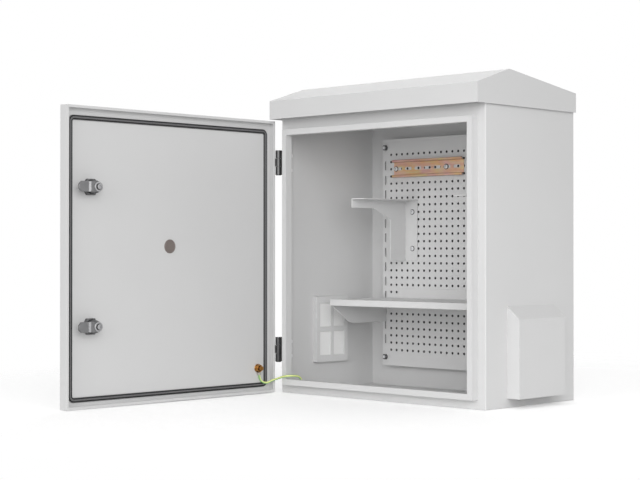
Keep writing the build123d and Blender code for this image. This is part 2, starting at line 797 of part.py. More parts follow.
# Hinges: a leaf on the body wall, a leaf on the door's edge and a pin.
# The middle knuckle belongs to the door, the outer two to the body.
for name, middle in hinge_heights.items():
    foot = up(middle) - barrel_length / 2
    with BuildPart() as body_leaf:
        with BuildSketch(Plane.XY.offset(foot)):
            with Locations((hinge_x, hinge_y)):
                Circle(barrel_radius)
            with Locations((-wall_x, hinge_y)):
                Rectangle(leaf_thick, hinge_axis_forward + leaf_reach, align=(Align.MAX, Align.MIN))
        extrude(amount=barrel_length)
        # Room for the door's knuckle
        with BuildSketch(Plane.XY.offset(foot + knuckle)):
            with Locations((hinge_x, hinge_y)):
                Circle(barrel_radius + knuckle_gap)
        extrude(amount=knuckle + 2 * knuckle_gap, mode=Mode.SUBTRACT)
        with BuildSketch(Plane.XY.offset(foot)):
            with Locations((hinge_x, hinge_y)):
                Circle(pin_radius)
        extrude(amount=barrel_length, mode=Mode.SUBTRACT)
        with BuildSketch(Plane.YZ.offset(-wall_x)):
            with Locations((leaf_screw_y, up(middle))):
                with GridLocations(1, leaf_screw_pitch, 1, 2):
                    Circle((leaf_screw_thread + screw_clearance) / 2)
        extrude(amount=-leaf_thick, mode=Mode.SUBTRACT)
    body_leaf.part.label = f"hinge_{name}_body_leaf"
    export_step(body_leaf.part, f"parts/{body_leaf.part.label}.step")

    with BuildPart() as door_leaf:
        with BuildSketch(Plane.XY.offset(foot + knuckle + knuckle_gap)):
            with Locations((hinge_x, hinge_y)):
                Circle(barrel_radius)
            with Locations((hinge_x, door_edge_y)):
                Rectangle(barrel_radius, leaf_thick, align=(Align.MAX, Align.MIN))
        extrude(amount=knuckle)
        with BuildSketch(Plane.XY.offset(foot)):
            with Locations((hinge_x - barrel_radius + door_leaf_inset, door_edge_y)):
                Rectangle(door_leaf_reach, leaf_thick, align=(Align.MAX, Align.MIN))
        extrude(amount=barrel_length)
        with BuildSketch(Plane.XY.offset(foot)):
            with Locations((hinge_x, hinge_y)):
                Circle(pin_radius + pin_clearance)
        extrude(amount=barrel_length, mode=Mode.SUBTRACT)
    door_leaf.part.label = f"hinge_{name}_door_leaf"
    export_step(door_leaf.part, f"parts/{door_leaf.part.label}.step")

    with BuildPart() as hinge_pin:
        with BuildSketch(Plane.XY.offset(foot - pin_head)):
            with Locations((hinge_x, hinge_y)):
                Circle(pin_head_radius)
        extrude(amount=pin_head)
        with BuildSketch(Plane.XY.offset(foot)):
            with Locations((hinge_x, hinge_y)):
                Circle(pin_radius)
        extrude(amount=barrel_length)
    hinge_pin.part.label = f"hinge_{name}_pin"
    export_step(hinge_pin.part, f"parts/{hinge_pin.part.label}.step")

    for step, step_name in ((1, "top"), (-1, "bottom")):
        screw_place = (leaf_screw_y, up(middle) + step * leaf_screw_pitch / 2)
        with BuildPart() as hinge_screw:
            with BuildSketch(Plane.YZ.offset(-wall_x - leaf_thick)):
                with Locations(screw_place):
                    Circle(leaf_screw_head_radius)
            extrude(amount=-leaf_screw_head_thick)
            chamfer(hinge_screw.edges().sort_by(Axis.X)[0], leaf_screw_rounding)
            with BuildSketch(Plane.YZ.offset(-wall_x - leaf_thick)):
                with Locations(screw_place):
                    Circle(leaf_screw_thread / 2)
            extrude(amount=leaf_thick + sheet + leaf_screw_past_wall)
        hinge_screw.part.label = f"hinge_{name}_screw_{step_name}"
        export_step(hinge_screw.part, f"parts/{hinge_screw.part.label}.step")

        with BuildPart() as hinge_nut:
            with BuildSketch(Plane.YZ.offset(-inner_x)):
                with Locations(screw_place):
                    RegularPolygon(leaf_nut_flats / 2, 6, major_radius=False)
                    Circle(leaf_screw_thread / 2, mode=Mode.SUBTRACT)
            extrude(amount=leaf_nut_thick)
        hinge_nut.part.label = f"hinge_{name}_nut_{step_name}"
        export_step(hinge_nut.part, f"parts/{hinge_nut.part.label}.step")


# Quarter-turn locks: a housing through both skins and its nut, then the
# spindle that turns in it with a cranked cam and a screw on its end
for name, height in lock_heights.items():
    centre = (lock_y, up(height))
    with BuildPart() as lock_housing:
        with BuildSketch(Plane.YZ.offset(door_face_x - lock_head_thick)):
            with Locations(centre):
                Circle(lock_head_radius)
        extrude(amount=lock_head_thick)
        chamfer(lock_housing.edges().sort_by(Axis.X)[0], lock_head_bevel)
        with BuildSketch(Plane.YZ.offset(door_face_x)):
            with Locations(centre):
                Circle(lock_barrel_radius)
        extrude(amount=liner_x + lock_barrel_end - door_face_x)
        with BuildSketch(Plane.YZ.offset(door_face_x - lock_head_thick)):
            with Locations(centre):
                Circle(spindle_radius + pin_clearance)
        extrude(amount=lock_head_thick + liner_x + lock_barrel_end - door_face_x, mode=Mode.SUBTRACT)
    lock_housing.part.label = f"lock_{name}_housing"
    export_step(lock_housing.part, f"parts/{lock_housing.part.label}.step")

    with BuildPart() as lock_nut:
        with BuildSketch(Plane.YZ.offset(liner_x)):
            with Locations(centre):
                RegularPolygon(lock_nut_flats / 2, 6, major_radius=False)
                Circle(lock_barrel_radius, mode=Mode.SUBTRACT)
        extrude(amount=lock_nut_thick)
    lock_nut.part.label = f"lock_{name}_nut"
    export_step(lock_nut.part, f"parts/{lock_nut.part.label}.step")

    with BuildPart() as lock_spindle:
        with BuildSketch(Plane.YZ.offset(door_face_x - lock_head_thick + lock_key_recess)):
            with Locations(centre):
                Circle(spindle_radius)
        extrude(amount=liner_x + cam_seat - door_face_x + lock_head_thick - lock_key_recess)
        # Key end: a three-sided peg in the head's recess
        with BuildSketch(Plane.YZ.offset(door_face_x - lock_head_thick + lock_key_recess)):
            with Locations(centre):
                RegularPolygon(lock_key_radius, 3)
        extrude(amount=-lock_key_recess)
        with BuildSketch(Plane.YZ.offset(liner_x + cam_seat)):
            with Locations(centre):
                Rectangle(spindle_square, spindle_square)
        extrude(amount=cam_thick)
        with BuildSketch(Plane.YZ.offset(liner_x + cam_seat + cam_thick)):
            with Locations(centre):
                Circle(lock_screw_thread / 2)
        extrude(amount=-lock_screw_depth, mode=Mode.SUBTRACT)
    lock_spindle.part.label = f"lock_{name}_spindle"
    export_step(lock_spindle.part, f"parts/{lock_spindle.part.label}.step")

    with BuildPart() as lock_cam:
        seat_x = liner_x + cam_seat
        crank_y = lock_y - cam_crank_from_axis
        tip_y = lock_y - cam_reach
        with BuildSketch(Plane.XY.offset(up(height) - cam_width / 2)):
            with BuildLine():
                Polyline(
                    (seat_x, lock_y + cam_width / 2),
                    (seat_x + cam_thick, lock_y + cam_width / 2),
                    (seat_x + cam_thick, crank_y),
                    (seat_x + cam_thick - cam_crank, crank_y - 2 * cam_crank),
                    (seat_x + cam_thick - cam_crank, tip_y),
                    (seat_x - cam_crank, tip_y),
                    (seat_x - cam_crank, crank_y - 2 * cam_crank),
                    (seat_x, crank_y),
                    close=True,
                )
            make_face()
        extrude(amount=cam_width)
        # Round root, tapered tip and the square hole for the spindle
        with BuildSketch(Plane.YZ.offset(seat_x - 2 * cam_crank)):
            with Locations(centre):
                Circle(cam_width / 2)
            with BuildLine():
                Polyline(
                    (lock_y, up(height) + cam_width / 2),
                    (tip_y + cam_tip_bevel, up(height) + cam_width / 2),
                    (tip_y, up(height) + cam_width / 2 - cam_tip_bevel),
                    (tip_y, up(height) - cam_width / 2 + cam_tip_bevel),
                    (tip_y + cam_tip_bevel, up(height) - cam_width / 2),
                    (lock_y, up(height) - cam_width / 2),
                    close=True,
                )
            make_face()
        extrude(amount=cam_thick + 4 * cam_crank, mode=Mode.INTERSECT)
        with BuildSketch(Plane.YZ.offset(seat_x)):
            with Locations(centre):
                Rectangle(spindle_square, spindle_square)
        extrude(amount=cam_thick, mode=Mode.SUBTRACT)
    lock_cam.part.label = f"lock_{name}_cam"
    export_step(lock_cam.part, f"parts/{lock_cam.part.label}.step")

    with BuildPart() as lock_screw:
        with BuildSketch(Plane.YZ.offset(liner_x + cam_seat + cam_thick)):
            with Locations(centre):
                Circle(washer_radius)
        extrude(amount=washer_thick)
        with BuildSketch(Plane.YZ.offset(liner_x + cam_seat + cam_thick + washer_thick)):
            with Locations(centre):
                Circle(lock_screw_head_radius)
        extrude(amount=lock_screw_head)
        chamfer(lock_screw.edges().sort_by(Axis.X)[-1], lock_screw_rounding)
        with BuildSketch(Plane.YZ.offset(liner_x + cam_seat + cam_thick)):
            with Locations(centre):
                Circle(lock_screw_thread / 2)
        extrude(amount=-lock_screw_depth)
    lock_screw.part.label = f"lock_{name}_screw"
    export_step(lock_screw.part, f"parts/{lock_screw.part.label}.step")


# Ring lugs of the earth wire, each flat on its seat with its barrel along x
tilt = radians(lug_tilt)
door_seat = Plane(
    origin=(liner_x, door_stud_y, up(door_stud_height)),
    x_dir=(0, sin(tilt), -cos(tilt)),
    z_dir=(1, 0, 0),
)
body_seat = Plane(origin=(body_stud_x, body_stud_y, up(sheet)), x_dir=(0, -1, 0), z_dir=(0, 0, 1))
lug_reach = lug_barrel_from + lug_barrel_length
wire_ends = []
for name, seat in (("door", door_seat), ("body", body_seat)):
    with BuildPart(seat) as ring_lug:
        with BuildSketch(seat):
            Circle(lug_ring_radius)
            Rectangle(lug_reach, 2 * lug_barrel_radius, align=(Align.MIN, Align.CENTER))
            Circle(stud_thread / 2, mode=Mode.SUBTRACT)
        extrude(amount=lug_sheet)
        with Locations((lug_barrel_from, 0, lug_barrel_radius)):
            Cylinder(
                lug_barrel_radius,
                lug_barrel_length,
                rotation=(0, 90, 0),
                align=(Align.CENTER, Align.CENTER, Align.MIN),
            )
    ring_lug.part.label = f"wire_lug_{name}"
    export_step(ring_lug.part, f"parts/{ring_lug.part.label}.step")
    wire_ends.append(seat.from_local_coords(Vector(lug_reach, 0, lug_barrel_radius)))

    with BuildPart(seat) as earth_nut:
        with BuildSketch(seat.offset(lug_sheet)):
            Circle(earth_nut_flange)
            Circle(stud_thread / 2, mode=Mode.SUBTRACT)
        extrude(amount=earth_nut_flange_thick)
        with BuildSketch(seat.offset(lug_sheet + earth_nut_flange_thick)):
            RegularPolygon(earth_nut_flats / 2, 6, major_radius=False)
            Circle(stud_thread / 2, mode=Mode.SUBTRACT)
        extrude(amount=earth_nut_thick - earth_nut_flange_thick)
    earth_nut.part.label = f"earth_nut_{name}"
    export_step(earth_nut.part, f"parts/{earth_nut.part.label}.step")


# Earth wire: from the door's lug past the gasket corner, across the gap,
# over the sill of the opening and down to the lug on the floor
wire_points = [
    wire_ends[0],
    wire_ends[0] + door_seat.x_dir * wire_door_run,
    Vector(-260.4, -298.1, up(20.2)),
    Vector(-257.0, -289.5, up(19.0)),
    Vector(-252.5, -281.5, up(24.0)),
    Vector(-243.0, -278.0, up(27.0)),
    Vector(-228.0, -279.5, up(31.5)),
    Vector(-213.5, -280.5, up(34.3)),
    Vector(-204.5, -269.0, up(34.3)),
    Vector(-203.2, -257.5, up(33.0)),
    Vector(-203.0, -250.0, up(24.5)),
    Vector(-203.0, -243.5, up(13.5)),
    wire_ends[1] + body_seat.x_dir * wire_body_run,
    wire_ends[1],
]
wire_radii = []
for before, here, after in zip(wire_points, wire_points[1:], wire_points[2:]):
    run_in = here - before
    run_out = after - here
    turn = run_in.get_angle(run_out)
    shorter = min(run_in.length, run_out.length)
    wire_radii.append(wire_arc_share * shorter / tan(radians(turn / 2)))
print("earth wire radii", [round(radius, 1) for radius in wire_radii])
with BuildPart() as earth_wire:
    with BuildLine() as wire_route:
        FilletPolyline(*wire_points, radius=wire_radii)
    with BuildSketch(Plane(origin=wire_route.edges()[0] @ 0, z_dir=wire_route.edges()[0] % 0)):
        Circle(wire_radius)
    sweep()
earth_wire.part.label = "earth_wire"
export_step(earth_wire.part, "parts/earth_wire.step")
wire_length = sum(edge.length for edge in wire_route.edges())
wire_section = pi * wire_radius**2
print("earth wire volume", round(earth_wire.part.volume), "section by length", round(wire_length * wire_section))
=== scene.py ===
import json
from math import cos, pi, radians, sin

import bmesh
import bpy
from mathutils import Matrix, Vector

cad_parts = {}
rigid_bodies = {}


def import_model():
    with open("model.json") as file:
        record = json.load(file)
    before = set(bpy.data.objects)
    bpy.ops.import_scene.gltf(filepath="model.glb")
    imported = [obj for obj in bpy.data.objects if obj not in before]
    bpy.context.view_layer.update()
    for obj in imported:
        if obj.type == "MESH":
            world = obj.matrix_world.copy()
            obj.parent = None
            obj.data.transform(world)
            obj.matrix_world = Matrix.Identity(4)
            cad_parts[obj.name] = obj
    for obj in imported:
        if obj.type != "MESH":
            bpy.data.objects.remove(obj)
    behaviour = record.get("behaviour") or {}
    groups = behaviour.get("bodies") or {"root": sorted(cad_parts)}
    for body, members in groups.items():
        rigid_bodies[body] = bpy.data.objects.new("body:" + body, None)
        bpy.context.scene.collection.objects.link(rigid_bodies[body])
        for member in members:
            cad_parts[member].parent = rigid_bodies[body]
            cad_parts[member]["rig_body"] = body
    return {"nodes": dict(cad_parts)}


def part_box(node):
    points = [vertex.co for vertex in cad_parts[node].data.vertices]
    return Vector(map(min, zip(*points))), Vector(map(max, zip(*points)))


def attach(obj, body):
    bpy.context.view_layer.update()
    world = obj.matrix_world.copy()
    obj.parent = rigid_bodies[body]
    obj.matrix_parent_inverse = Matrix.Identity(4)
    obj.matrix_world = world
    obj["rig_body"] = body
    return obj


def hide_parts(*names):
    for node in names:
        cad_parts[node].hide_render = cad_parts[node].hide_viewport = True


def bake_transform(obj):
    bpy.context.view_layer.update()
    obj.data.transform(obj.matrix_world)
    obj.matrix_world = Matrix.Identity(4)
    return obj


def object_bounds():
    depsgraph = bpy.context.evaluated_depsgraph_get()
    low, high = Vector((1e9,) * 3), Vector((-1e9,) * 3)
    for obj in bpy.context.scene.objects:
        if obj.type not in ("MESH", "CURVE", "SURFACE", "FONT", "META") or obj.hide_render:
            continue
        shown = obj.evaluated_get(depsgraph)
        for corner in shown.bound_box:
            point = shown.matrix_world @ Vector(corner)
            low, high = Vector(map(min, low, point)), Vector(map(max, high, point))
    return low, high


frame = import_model()
cad_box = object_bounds()


# Camera: it looks along the cabinet's front at 44 degrees, from a little
# below the middle of the body, so the roof's underside edge just shows.
def linked(name, data):
    """New object in the scene, made of this mesh, curve, lamp or camera."""
    made = bpy.data.objects.new(name, data)
    bpy.context.scene.collection.objects.link(made)
    return made


camera = linked("camera", bpy.data.cameras.new("camera"))
camera.location = (1.8947, -2.3272, -0.0074)
camera.rotation_euler = (radians(90.43), 0, radians(43.685))
camera.data.sensor_width = 36
camera.data.lens = 86.85
camera.data.shift_x = -0.039
bpy.context.scene.camera = camera


# Earth wire: fine copper strands in a soft green and yellow cover, which
# joins the door to the body. Its two ends are pressed into ring lugs, and
# it hangs slack between them, so that the door can turn.
class Tone:
    """An output of one node in a finish; sums on it add the nodes that they need."""

    def __init__(self, tree, socket=None):
        self.tree = tree
        self.socket = socket

    def node(self, kind, settings, inputs, output=0):
        """Add a node, with its settings first and then its inputs, and return one output."""
        made = self.tree.nodes.new(kind)
        for name, value in settings.items():
            if name == "stops":
                self.set_stops(made.color_ramp.elements, value)
            else:
                setattr(made, name, value)
        for name, value in inputs.items():
            if isinstance(value, Tone):
                self.tree.links.new(value.socket, made.inputs[name])
            else:
                made.inputs[name].default_value = value
        return Tone(self.tree, made.outputs[output])

    @staticmethod
    def set_stops(elements, stops):
        """Give a ramp these (place, grey) stops."""
        while len(elements) < len(stops):
            elements.new(1)
        for element, (place, tone) in zip(elements, stops):
            element.position = place
            element.color = (tone, tone, tone, 1)

    def maths(self, operation, *values):
        """Send tones or plain numbers through one Math node."""
        return self.node("ShaderNodeMath", {"operation": operation}, dict(enumerate(values)))

    def __add__(self, other):
        return self.maths("ADD", self, other)

    def __sub__(self, other):
        return self.maths("SUBTRACT", self, other)

    def __rsub__(self, other):
        return self.maths("SUBTRACT", other, self)

    def __mul__(self, other):
        return self.maths("MULTIPLY", self, other)

    def __abs__(self):
        return self.maths("ABSOLUTE", self)

    __radd__ = __add__
    __rmul__ = __mul__

    def smaller(self, other):
        """The smaller of this value and another."""
        return self.maths("MINIMUM", self, other)

    def larger(self, other):
        """The larger of this value and another."""
        return self.maths("MAXIMUM", self, other)

    def along(self, axis):
        """How far this place lies along X, Y or Z, which are 0, 1 and 2."""
        return self.node("ShaderNodeSeparateXYZ", {}, {0: self}, axis)

    def stretched(self, scales):
        """This place, drawn out along the axes by these factors."""
        return self.node("ShaderNodeVectorMath", {"operation": "MULTIPLY"}, {0: self, 1: scales})

    def noise(self, scale, detail=2.0):
        """Cloudy value at this place, with so many clouds to a metre."""
        places = {"Vector": self, "Scale": scale, "Detail": detail}
        return self.node("ShaderNodeTexNoise", {}, places)

    def steps(self, *stops):
        """This value read from a ramp of (place, grey) stops."""
        return self.node("ShaderNodeValToRGB", {"stops": stops}, {"Fac": self})

    def between(self, low, high):
        """Colour that goes from low to high as this value goes from 0 to 1."""
        return self.node("ShaderNodeMix", {"data_type": "RGBA"}, {0: self, 6: low, 7: high}, 2)

    def relief(self, depth, strength):
        """Surface relief from this value, which stands for a depth in metres."""
        heights = {"Height": self, "Distance": depth, "Strength": strength}
        return self.node("ShaderNodeBump", {}, heights)


class Finish:
    """One material: its shader, and the place on the piece that its nodes read."""

    def __init__(self, name, **fixed):
        self.material = bpy.data.materials.new(name)
        self.material.use_nodes = True
        self.tree = self.material.node_tree
        self.shader = self.tree.nodes["Principled BSDF"]
        for socket, value in fixed.items():
            self.shader.inputs[socket.replace("_", " ")].default_value = value
        self.place = Tone(self.tree).node("ShaderNodeTexCoord", {}, {}, "Object")

    def mark(self, name):
        """Value that the mesh gives each of its faces under this name."""
        return self.place.node("ShaderNodeAttribute", {"attribute_name": name}, {}, "Fac")

    def varies(self, **sockets):
        """Link what changes over the surface to the shader."""
        for socket, tone in sockets.items():
            self.tree.links.new(tone.socket, self.shader.inputs[socket.replace("_", " ")])


wire_diameter = 0.004
wire_sides = 16
stripe_sides = 3
wire_points = (
    (-0.2624, -0.306256, -0.242912),
    (-0.2624, -0.304385, -0.251715),
    (-0.2604, -0.2981, -0.2578),
    (-0.257, -0.2895, -0.259),
    (-0.2525, -0.2815, -0.254),
    (-0.243, -0.278, -0.251),
    (-0.228, -0.2795, -0.2465),
    (-0.2135, -0.2805, -0.2437),
    (-0.2045, -0.269, -0.2437),
    (-0.2032, -0.2575, -0.245),
    (-0.203, -0.25, -0.2535),
    (-0.203, -0.2435, -0.2645),
    (-0.203, -0.2337, -0.2735),
    (-0.203, -0.2212, -0.2735),
)
wire_curve = bpy.data.curves.new("wire_line", "CURVE")
wire_curve.dimensions = "3D"
wire_curve.resolution_u = 8
wire_spline = wire_curve.splines.new("NURBS")
wire_spline.points.add(len(wire_points) - 1)
for point, place in zip(wire_spline.points, wire_points):
    point.co = (*place, 1)
wire_spline.order_u = 3
wire_spline.use_endpoint_u = True
wire_line = linked("wire_line", wire_curve)
wire_path = [vertex.co.copy() for vertex in bpy.data.meshes.new_from_object(wire_line).vertices]
bpy.data.objects.remove(wire_line)


def striped_tube(name, path, radius, sides):
    """Round tube along a path, without twist, closed at both ends, with a stripe on each side."""
    work = bmesh.new()
    stripe = work.faces.layers.float.new("stripe")
    rings = []
    across = (path[1] - path[0]).normalized().orthogonal().normalized()
    for index, place in enumerate(path):
        ahead = path[min(index + 1, len(path) - 1)] - path[max(index - 1, 0)]
        ahead.normalize()
        across = (across - ahead * across.dot(ahead)).normalized()
        up = ahead.cross(across)
        ring = []
        for side in range(sides):
            angle = 2 * pi * side / sides
            ring.append(work.verts.new(place + radius * (cos(angle) * across + sin(angle) * up)))
        rings.append(ring)
    for ring, after in zip(rings, rings[1:]):
        for side in range(sides):
            beside = (side + 1) % sides
            face = work.faces.new((ring[side], ring[beside], after[beside], after[side]))
            face[stripe] = 1.0 if side % (sides // 2) < stripe_sides else 0.0
            face.smooth = True
    work.faces.new(rings[0][::-1])
    work.faces.new(rings[-1])
    mesh = bpy.data.meshes.new(name)
    work.to_mesh(mesh)
    work.free()
    return mesh


cover = Finish("wire_cover", Specular_IOR_Level=0.4)
cover_grain = cover.place.noise(2600)
cover_tone = cover.mark("stripe") * 0.92 + cover_grain * 0.08
cover.varies(
    Base_Color=cover_tone.between((0.26, 0.55, 0.20, 1), (0.84, 0.86, 0.34, 1)),
    Roughness=0.36 + cover_grain * 0.16,
    Normal=cover_grain.relief(0.00008, 0.5),
)
wire_mesh = striped_tube("earth_wire_cover", wire_path, wire_diameter / 2, wire_sides)
earth_wire = linked("earth_wire_cover", wire_mesh)
earth_wire.data.materials.append(cover.material)
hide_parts("earth_wire")
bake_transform(earth_wire)


# Body: one box of folded and welded sheet steel, powder coated light grey,
# with a rain gutter round the door opening and a bend line at each rear edge.
def fitted(piece, node, finish):
    """Make a piece's shape final, and give it its finish and the body of its CAD piece."""
    graph = bpy.context.evaluated_depsgraph_get()
    mesh = bpy.data.meshes.new_from_object(piece.evaluated_get(graph), depsgraph=graph)
    piece.modifiers.clear()
    piece.data = mesh
    mesh.materials.clear()
    mesh.materials.append(finish.material)
    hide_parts(node)
    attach(piece, frame["nodes"][node]["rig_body"])
    return piece


def shaped(node, made_as, finish, rounding):
    """Round the bends and cut edges of a CAD piece, and put the result in its place."""
    same_place = 0.000002
    flat = radians(0.5)
    sharp = radians(22)
    source = frame["nodes"][node].data
    corners = [vertex.co for vertex in source.vertices]
    mesh = bpy.data.meshes.new(node)
    mesh.from_pydata(corners, [], [face.vertices[:] for face in source.polygons])
    work = bmesh.new()
    work.from_mesh(mesh)
    bmesh.ops.remove_doubles(work, verts=work.verts, dist=same_place)
    bmesh.ops.dissolve_limit(work, angle_limit=flat, verts=work.verts[:], edges=work.edges[:])
    work.to_mesh(mesh)
    work.free()
    mesh.shade_smooth()
    piece = linked(f"{node}_{made_as}", mesh)
    edges = piece.modifiers.new("edges", "BEVEL")
    edges.width = rounding
    edges.segments = 2
    edges.limit_method = "ANGLE"
    edges.angle_limit = sharp
    edges.harden_normals = True
    return fitted(piece, node, finish)


def grey(tone, blue=0.0):
    """Grey colour, with a little more blue where it is wanted."""
    return (tone, tone, tone + blue, 1)


def powder_coat(name, tone, bend_line=None):
    """Satin powder coat: a fine orange-peel skin, slightly cloudy in tone.

    bend_line is how far from the wall a bend shows as a fine groove.
    """
    paint = Finish(name, Specular_IOR_Level=0.45)
    clouds = paint.place.noise(5)
    skin = paint.place.noise(420, 3)
    speck = paint.place.noise(1500, 1)
    height = skin * 0.7 + speck * 0.3
    if bend_line is not None:
        millimetres_off = abs(paint.place.along(1) + bend_line) * 1000
        height = height * 0.25 + millimetres_off.steps((0.0, 0), (0.6, 1))
    mottle = clouds * 0.5 + skin * 0.2 + speck * 0.3
    paint.varies(
        Base_Color=mottle.between(grey(tone * 0.95), grey(tone * 1.05)),
        Roughness=0.4 + skin * 0.12 + clouds * 0.06,
        Normal=height.relief(0.00012, 0.35),
    )
    return paint


def recoated(piece, finish, low, high):
    """Give the faces whose middle is in this box another finish."""
    coats = piece.data.materials
    if finish.material.name not in coats:
        coats.append(finish.material)
    for face in piece.data.polygons:
        if all(start < place < end for start, place, end in zip(low, face.center, high)):
            face.material_index = coats.find(finish.material.name)


outside_paint = powder_coat("outside_paint", 0.66, bend_line=0.0038)
body = shaped("cabinet_body", "welded", outside_paint, rounding=0.0005)


# Back wall: behind the mounting panel the wall is painted dark grey, as
# painted shade of the narrow gap, which shows through the panel's holes.
panel_low, panel_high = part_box("mounting_panel")
panel_middle = (panel_high.z + panel_low.z) / 2
back_paint_and_gap_shade = Finish("back_paint_and_gap_shade", Specular_IOR_Level=0.45)
from_side = panel_high.x - abs(back_paint_and_gap_shade.place.along(0))
from_end = (panel_high.z - panel_low.z) / 2 - abs(back_paint_and_gap_shade.place.along(2) - panel_middle)
# Painted shade: 1 in the zone behind the panel, 0 round it.
gap_shade = (from_side.smaller(from_end) * 100).steps((0.1, 0.0), (0.7, 1.0))
back_skin = back_paint_and_gap_shade.place.noise(420, 3)
back_paint_and_gap_shade.varies(
    Base_Color=gap_shade.between(grey(0.68), grey(0.07, 0.002)),
    Roughness=0.44 + back_skin * 0.14,
    Normal=back_skin.relief(0.00012, 0.3),
)
wall_middle = Vector((0, -0.0015, 0))
wall_reach = Vector((0.249, 0.0003, 0.28))
recoated(body, back_paint_and_gap_shade, wall_middle - wall_reach, wall_middle + wall_reach)


# Roof: one folded cap of the same sheet, higher towards the front, with
# two channels under it that rest on the body. Its front is left plain.
# The roof's paint is the body's paint written a little darker, as painted shade.
darkened_roof_paint = powder_coat("darkened_roof_paint", 0.65)
shaped("roof_canopy", "folded", darkened_roof_paint, rounding=0.0006)


# Roof bolts: zinc-plated steel with low round heads and a hexagon socket,
# screwed up into the roof's channels from inside the body.
def piece_length(node, axis):
    """Length of a CAD piece along an axis."""
    low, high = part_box(node)
    return abs((high - low).dot(Vector(axis)))


def seat(node, axis):
    """Middle of that end of a CAD piece from which the axis leads through the piece."""
    low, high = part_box(node)
    return (low + high) / 2 - Vector(axis) * piece_length(node, axis) / 2


def lathe(
    name, profile, base, axis, sides=36, hexagon=None, corner_at=0.0, recess=None, dirty=()
):
    """Mesh turned on a lathe from (radius, height) steps, which start at base.

    hexagon is the width across its flats and the first and last step that it cuts, and
    corner_at is the angle of one of its corners.
    recess is the number of arms, their reach, their share of the sides and their depth.
    The steps in the last argument, and the recess's faces, are painted near black as shade.
    """
    flats, first_cut, last_cut = hexagon or (0.0, 1, 0)
    arms, arm_reach, arm_share, arm_depth = recess or (0, 0.0, 0.0, 0.0)
    half = len(profile) / 2
    work = bmesh.new()
    dirt = work.faces.layers.float.new("dirt")
    rings = []
    sunk = set()
    for step, (radius, height) in enumerate(profile):
        ring = []
        for side in range(sides):
            angle = 2 * pi * side / sides
            reach = radius
            if first_cut <= step <= last_cut:
                from_flat = (angle - corner_at) % (pi / 3) - pi / 6
                reach = min(radius, flats / 2 / cos(from_flat))
            drop = 0.0
            if radius <= arm_reach and step > half and (side * arms / sides) % 1 < arm_share:
                drop = arm_depth
                sunk.add(side)
            ring.append(work.verts.new((reach * cos(angle), reach * sin(angle), height - drop)))
        rings.append(ring)
    for step, (ring, after) in enumerate(zip(rings, rings[1:])):
        meets_recess = step > half - 1 and profile[step + 1][0] <= arm_reach
        for side in range(sides):
            beside = (side + 1) % sides
            face = work.faces.new((ring[side], ring[beside], after[beside], after[side]))
            in_recess = meets_recess and side in sunk
            # Painted shade: these faces are painted near black by the metal's finish.
            face[dirt] = 1.0 if step in dirty or in_recess else 0.0
    if profile[0] != profile[-1]:
        work.faces.new(rings[0][::-1])
        work.faces.new(rings[-1])
    bmesh.ops.remove_doubles(work, verts=work.verts, dist=0.000001)
    bmesh.ops.recalc_face_normals(work, faces=work.faces)
    turn = Vector((0, 0, 1)).rotation_difference(Vector(axis)).to_matrix().to_4x4()
    work.transform(Matrix.Translation(base) @ turn)
    mesh = bpy.data.meshes.new(name)
    work.to_mesh(mesh)
    work.free()
    mesh.shade_smooth()
    mesh.set_sharp_from_angle(angle=radians(32))
    return mesh


def turned(node, finish, slot, profile, axis, **cuts):
    """Part turned on a lathe from its seat up, in the place of its CAD piece."""
    mesh = lathe(node, profile, seat(node, axis), axis, **cuts)
    return fitted(linked(f"{node}_turned", mesh), node, finish)


def plated(name, dark, light, roughness, metallic=1.0):
    """Plated or cast metal: cloudy tone, fine scratches, small pits, and marked faces painted near
    black as shade.
    """
    metal = Finish(name, Metallic=metallic)
    clouds = metal.place.noise(70, 3)
    grain = metal.place.noise(1400, 2)
    scratch = metal.place.stretched((1, 1, 14)).noise(260, 2)
    dirt = metal.mark("dirt")
    clean = (clouds * 0.6 + grain * 0.4).between(dark, light)
    metal.varies(
        # Painted shade: marked faces are painted near black and made rougher.
        Base_Color=(dirt * 0.9).between(clean, grey(0.012)),
        Roughness=roughness + clouds * 0.12 + scratch * 0.1 + dirt * 0.4,
        Normal=(grain * 0.6 + scratch * 0.4).relief(0.00006, 0.4),
    )
    return metal


upward = (0, 0, 1)
bolt_shank = 0.004
bolt_lead = 0.0004
bolt_head = 0.0068
bolt_head_height = 0.004
socket_flats = 0.005
socket_corner = 0.0026
socket_depth = 0.0024
bright_zinc = plated("bright_zinc", grey(0.72, 0.02), grey(0.98, 0.02), roughness=0.26, metallic=0.4)
for name in ("back_left", "front_left", "back_right", "front_right"):
    node = f"roof_bolt_{name}"
    bolt_length = piece_length(node, upward)
    bolt_profile = (
        (bolt_shank - bolt_lead / 2, bolt_length),
        (bolt_shank, bolt_length - bolt_lead),
        (bolt_shank, bolt_head_height),
        (bolt_head - 0.0001, bolt_head_height),
        (bolt_head, bolt_head_height - 0.0004),
        (bolt_head - 0.0002, 0.0016),
        (bolt_head - 0.001, 0.0006),
        (bolt_head - 0.0022, 0.0),
        (socket_corner, 0.0),
        (socket_corner, socket_depth),
    )
    socket = (socket_flats, 8, 9)
    turned(node, bright_zinc, "bright_zinc", bolt_profile, upward, hexagon=socket)


# Mounting panel: flat powder-coated sheet with a close grid of round
# holes, a column of upright slots at each side and a stud hole in each
# corner, punched from one blank.
pitch = 0.0145
first_column = -0.18125
first_row = 0.1871
columns = 26
rows = 28
hole_radius = 0.0025
hole_sides = 14
slot_radius = 0.0024
slot_half = 0.0066
slot_arcs = 6
slots = 13
stud_hole = 0.00325


def punched(curve, outline):
    """Add one closed outline to the blank."""
    spline = curve.splines.new("POLY")
    spline.points.add(len(outline) - 1)
    for point, (x, z) in zip(spline.points, outline):
        point.co = (x, z, 0, 1)
    spline.use_cyclic_u = True


def round_hole(x, z, radius):
    """Outline of a round hole."""
    angles = [2 * pi * side / hole_sides for side in range(hole_sides)]
    return [(x + radius * cos(angle), z + radius * sin(angle)) for angle in angles]


